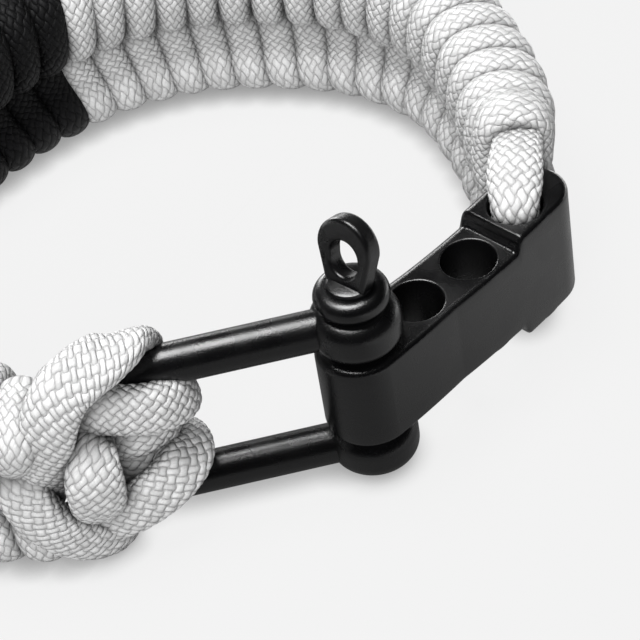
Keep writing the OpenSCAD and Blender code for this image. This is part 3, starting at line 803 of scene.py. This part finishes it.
def metal_material(metal):
    """A satin black coating: a fine grain in the bump and a slightly uneven gloss."""
    g = Graph(bpy.data.materials.new("black_coating"))
    place = g.add("ShaderNodeTexCoord").outputs["Object"]
    grain, cloud = g.noise(place, GRAIN_SCALE, 3.0), g.noise(place, CLOUD_SCALE, 2.0)
    tones = tint(metal.colour, 0.7), tint(metal.colour)
    return g.finish({
        "Base Color": g.blend(g.fit(grain, 0.35, 0.7), *tones, colours=True),
        "Roughness": g.fit(cloud, 0.3, 0.7, metal.roughness - 0.04, metal.roughness + 0.06),
        "Normal": g.bump(grain, metal.grain), "Specular IOR Level": metal.gloss})


class Band:
    """The band's route and the plait's measures, from the settings."""

    def __init__(self, settings):
        half = np.array([settings.loop_w, settings.loop_d]) / 2
        self.route = np.vstack([np.array(BAND_START) * MM, np.array(LOOP_SHARES) * half,
                                np.array(BAND_END) * MM])
        self.v_table = np.linspace(0, len(self.route) - 1, 4000)
        self.length_table = running_length(smooth_curve(self.route, self.v_table))
        self.length = self.length_table[-1]
        self.wraps = round(self.length / settings.wrap_pitch)
        self.pitch = self.length / self.wraps
        white, black = settings.white_share, settings.black_share
        self.black_from = round(self.wraps * (1 - white - black)) * self.pitch
        self.black_to = round(self.wraps * (1 - white)) * self.pitch
        self.mid_z = settings.height / 2
        self.half_w, self.half_t = settings.cord_w / 2, settings.cord_t / 2
        self.amp_z = self.mid_z - self.half_t
        self.amp_n = settings.thickness / 2 - self.half_t

    def place(self, s):
        """Points of the route at lengths s, and the directions there, each from a point
        just before to one just after."""
        v = np.interp(s, self.length_table, self.v_table)
        p = smooth_curve(self.route, v)
        d = unit(smooth_curve(self.route, v + 0.01) - smooth_curve(self.route, v - 0.01))
        return p, d


def ease_in(share):
    """A share from 0 to 1 that starts flat: the share to the power of 1.5."""
    return np.clip(share, 0, 1) ** 1.5


def bell(x, width):
    """A bell of height 1 at 0, exp(-(x / width)^2)."""
    return np.exp(-(x / width) ** 2)


def plait_strand(band, low, high, phase, cord):
    """One of the two cords of the plait. With t the turn, 2 pi a length of two wraps, its
    centre is at height A cos(t) and B sin(2 t) off the centre line: from an edge to the
    middle on the outside, through the band, and from the middle to the other edge on the
    wrist side. There the upper row's start is a narrow tip, pulled down over the lower
    row's start. At the block the cord goes on about the band for half a wrap at one
    place, and its top rises and draws back to clear the bight."""
    s = np.linspace(low, high + (0.5 * band.pitch if high > band.black_to else 0),
                    int(round((high - low) / band.pitch * STEPS_PER_WRAP)) + 1)
    t = np.pi * s / band.pitch + phase
    s = np.minimum(s, high)
    to_end = (band.length - s) / MM
    swell = BOW_SWELL * ease_in(1 - s / (BOW_REACH * MM)) - END_SLIM * ease_in(1 - to_end / END_REACH)
    turn = np.mod(t, 2 * np.pi) - TIP_LAG
    tip, root = bell(turn - 1.5 * np.pi, TIP_SPAN), bell(turn - 0.5 * np.pi, TIP_SPAN)
    over = smooth_step((np.cos(t) - OVER_FROM) / OVER_SPAN)
    up = band.amp_z * np.cos(t) + MM * (
        ARCH_RISE * bell(to_end, ARCH_REACH) * over - TIP_DROP * tip - ROOT_DROP * root)
    off = (band.amp_n + MM * swell) * np.sin(2 * t) + MM * (ROOT_RISE * root - TIP_DIP * tip)
    p, d = band.place(s - DRAW_BACK * MM * bell(to_end, DRAW_REACH) * over)
    side = np.stack([-d[:, 1], d[:, 0]], 1)
    centre = np.column_stack([p + side * off[:, None], band.mid_z + up])
    wide = np.column_stack([d, np.zeros(len(s))])
    return sweep(centre, wide, band.half_w * (1 - TIP_SLIM * tip), band.half_t, WRAP_SIDES,
                 cord, full=WRAP_FULL)


def core_strand(band, low, high, z, cord):
    """A straight inner cord at the height z off the band's middle."""
    s = np.linspace(low, high, int((high - low) / (CORE_STEP * MM)) + 2)
    p, d = band.place(s)
    centre = np.column_stack([p, np.full(len(s), band.mid_z + z * MM)])
    wide = np.column_stack([np.zeros((len(s), 2)), np.ones(len(s))])
    return sweep(centre, wide, CORE_W / 2 * MM, CORE_T / 2 * MM, CORE_SIDES, cord)


def fine_cord(rows, step, cord, wide=None, **form):
    """A cord that shows each yarn: the curve through its rows, swept with the width and
    the thickness that run through the rows with it. Its width runs along wide, or else
    square to the way of its flat face, which ends each row."""
    row = smooth_curve(rows, even_steps(rows[:, :3] * MM, step * MM))
    centre = row[:, :3] * MM
    if wide is None:
        wide = unit(np.cross(unit(row[:, 5:8]), unit(np.gradient(centre, axis=0))))
    return sweep(centre, wide, row[:, 3] / 2 * MM, row[:, 4] / 2 * MM, FINE_SIDES, cord,
                 FINE_RELIEF * cord.relief, **form)


def floor_material(stage):
    """A pale floor lit as if from inside, as a light table is. Its glow carries a painted contact
    shadow close under the bracelet, as dark as the share of the sky within a few millimetres that is
    hidden. To the eye it is pale, and to the bracelet it is dimmer, so that undersides stay dark. In
    the metal's sheen it is bright behind the bracelet and dim in front."""
    g = Graph(bpy.data.materials.new("floor"))
    # Painted contact shadow: the floor's glow darkens where ambient occlusion finds the bracelet
    # within reach
    near = g.add("ShaderNodeAmbientOcclusion", samples=16, Distance=stage.contact_shadow)
    glow_with_contact_shadow = g.fit(near.outputs["AO"], 0.0, 0.9, 0.35 * stage.glow, stage.glow)
    ray = g.add("ShaderNodeLightPath").outputs
    x, y, _ = g.split(g.add("ShaderNodeNewGeometry").outputs["Position"])
    front = g.fit(x, 0.015, 0.05, 0.4 * stage.bounce, 1.1 * stage.bounce)
    sheen = g.blend(g.fit(y, 0.0, 0.06), front, 1.6 * stage.back)
    share = g.math("MULTIPLY_ADD", ray["Is Camera Ray"], 1 - stage.bounce, stage.bounce)
    share = g.blend(ray["Is Glossy Ray"], share, sheen)
    return g.finish({
        "Emission Strength": g.math("MULTIPLY", glow_with_contact_shadow, share),
        "Emission Color": (1, 1, 1, 1), "Base Color": tint(stage.floor),
        "Roughness": 1.0, "Specular IOR Level": 0.0})


def studio_world(stage):
    """Light from all round that grows with height, and a brighter band low behind. What
    the metal mirrors is harder: a broad light overhead, a band low behind, and dark
    between them and toward the eye."""
    g = Graph(bpy.data.worlds.new("studio"), "Background")
    _, y, z = g.split(g.add("ShaderNodeTexCoord").outputs["Generated"])
    height = g.fit(z, 0.5, 1.0, 0.35 * stage.sky, 1.5 * stage.sky)
    behind = g.math("MULTIPLY", g.fit(y, 0.1, 0.8), g.fit(z, 0.2, 0.6, stage.back, 0.0))
    soft = g.math("ADD", height, behind)
    overhead = g.fit(z, 0.78, 0.88, 0.03, stage.gloss_light)
    low = g.fit(z, 0.1, 0.45, 2.2 * stage.back, 0.1 * stage.back)
    hard = g.math("MULTIPLY_ADD", g.fit(y, 0.1, 0.5), low, overhead)
    glossy = g.add("ShaderNodeLightPath").outputs["Is Glossy Ray"]
    return g.finish({"Strength": g.blend(glossy, soft, hard)})


def stand(name, data, right, up, ahead, at):
    """A lamp or a camera at its place, turned to look ahead with its top up."""
    rows = zip(right, up, (-k for k in ahead), at)
    shown = show(name, data)
    shown.matrix_world = Matrix([*rows, (0, 0, 0, 1)])
    return shown


class BRACELET_OT_weave_band(Operator):
    """Plaits the band out of two cords round two inner ones, in three colour lengths"""
    bl_idname = "bracelet.weave_band"
    bl_label = "Weave Band"

    def execute(self, context):
        cord = context.scene.bracelet_cord
        band = Band(context.scene.bracelet_band)
        stretches = {
            "band_white_bow_side": (0.0, band.black_from, "white"),
            "band_black": (band.black_from, band.black_to, "black"),
            "band_white_block_side": (band.black_to, band.length - END_GAP * MM, "white")}
        for node, (low, high, colour) in stretches.items():
            parts = [plait_strand(band, low, high, phase, cord) for phase in (0.0, np.pi)]
            parts += [core_strand(band, low, high, z, cord) for z in (-CORE_Z, CORE_Z)]
            put_cords("cords_" + node, parts, cord, colour, node)
        return {"FINISHED"}


class BRACELET_OT_tie_bow(Operator):
    """Ties the turns of cord round the bow"""
    bl_idname = "bracelet.tie_bow"
    bl_label = "Tie Bow"

    def execute(self, context):
        cord = context.scene.bracelet_cord
        parts = [fine_cord(np.array(rows), TURN_STEP, cord, full=TURN_FULL,
                           twist=TWIST.get(name, 0.0)) for name, rows in TURNS.items()]
        put_cords("tied_turns", parts, cord, "white", "bow_hitch", "hitch_fill")
        return {"FINISHED"}


class BRACELET_OT_thread_block(Operator):
    """Threads the bight through the adjuster block's last hole"""
    bl_idname = "bracelet.thread_block"
    bl_label = "Thread Block"

    def execute(self, context):
        cord = context.scene.bracelet_cord
        band = Band(context.scene.bracelet_band)
        way = np.array(BAND_END) - LAST_HOLE
        reach = np.linalg.norm(way)
        x, y = way / reach
        upper = np.array(BIGHT_AT_HOLE + [(reach + past, *rest) for past, *rest in BIGHT_IN_BAND])
        both = np.concatenate([upper[:0:-1] * (1, -1, 1, 1), upper])
        along, up, wide, thick = both.T
        rows = np.column_stack([
            LAST_HOLE[0] + x * along, LAST_HOLE[1] + y * along, band.mid_z / MM + up, wide, thick])
        part = fine_cord(rows, BIGHT_STEP, cord, wide=np.array([y, -x, 0.0]))
        put_cords("bight", [part], cord, "white", "block_loop")
        return {"FINISHED"}


class BRACELET_OT_forge_metal(Operator):
    """Makes the bow, the pin and the block with their rounded edges and black coating"""
    bl_idname = "bracelet.forge_metal"
    bl_label = "Forge Metal"

    def execute(self, context):
        metal = metal_material(context.scene.bracelet_metal)
        bow = [bow_bar(), ear(MID_Z + CROWN_R), ear(MID_Z - CROWN_R)]
        block = [block_cell(i) for i in range(HOLES)]
        for name, parts, body, node in (
                ("bow", bow, "bracelet", "shackle_bow"),
                ("pin", [pin_shaft(), eye_tab()], "pin", "shackle_pin"),
                ("block", block, "bracelet", "adjuster_block")):
            put_piece(name, parts, metal, body, [node], SHARP)
        return {"FINISHED"}


class BRACELET_OT_set_stage(Operator):
    """Lays the floor and sets the lights and the camera"""
    bl_idname = "bracelet.set_stage"
    bl_label = "Set Stage"

    def execute(self, context):
        stage = context.scene.bracelet_stage
        scene = context.scene
        low, high = -FLOOR_HALF, FLOOR_HALF
        mesh = bpy.data.meshes.new("floor")
        mesh.from_pydata([(low, low, 0), (high, low, 0), (high, high, 0), (low, high, 0)],
                         [], [(0, 1, 2, 3)])
        mesh.materials.append(floor_material(stage))
        show("floor", mesh)
        scene.world = studio_world(stage)
        for name, (at, size, share, mirrored) in LAMPS.items():
            lamp = bpy.data.lights.new(name, "AREA")
            lamp.shape = "DISK"
            lamp.size = size
            lamp.energy = stage.key * share
            ahead = unit(np.array(LAMP_AIM) - at)
            right = unit(np.cross(ahead, LAMP_SIDE))
            up = np.cross(-ahead, right)
            stand(name, lamp, right, up, ahead, at).visible_glossy = mirrored
        lens = bpy.data.cameras.new("camera")
        lens.lens = stage.lens
        lens.sensor_width = SENSOR_W
        lens.clip_start = 0.01
        lens.clip_end = 20
        scene.camera = stand("camera", lens, CAMERA_RIGHT, CAMERA_UP, CAMERA_AHEAD, CAMERA_AT)
        scene.view_settings.view_transform = "Standard"
        return {"FINISHED"}


class BRACELET_PT_panel(Panel):
    """Lists the settings and the steps"""
    bl_idname = "BRACELET_PT_panel"
    bl_label = "Cord Bracelet"
    bl_space_type = "VIEW_3D"
    bl_region_type = "UI"
    bl_category = "Bracelet"

    def draw(self, context):
        for name, group in SETTINGS.items():
            box = self.layout.box()
            box.label(text=group.__doc__)
            for key in group.__annotations__:
                box.prop(getattr(context.scene, name), key)
        for step in STEPS:
            self.layout.operator(step.bl_idname)


STEPS = (BRACELET_OT_set_stage, BRACELET_OT_weave_band, BRACELET_OT_tie_bow,
         BRACELET_OT_thread_block, BRACELET_OT_forge_metal)
CLASSES = (*SETTINGS.values(), *STEPS, BRACELET_PT_panel)


def register():
    for item in CLASSES:
        bpy.utils.register_class(item)
    for name, group in SETTINGS.items():
        setattr(bpy.types.Scene, name, PointerProperty(type=group))


def unregister():
    for name in SETTINGS:
        delattr(bpy.types.Scene, name)
    for item in reversed(CLASSES):
        bpy.utils.unregister_class(item)


def main():
    register()
    for step in STEPS:
        family, name = step.bl_idname.split(".")
        if getattr(getattr(bpy.ops, family), name)() != {"FINISHED"}:
            raise RuntimeError(step.bl_label + " didn't finish")


if __name__ == "__main__":
    main()
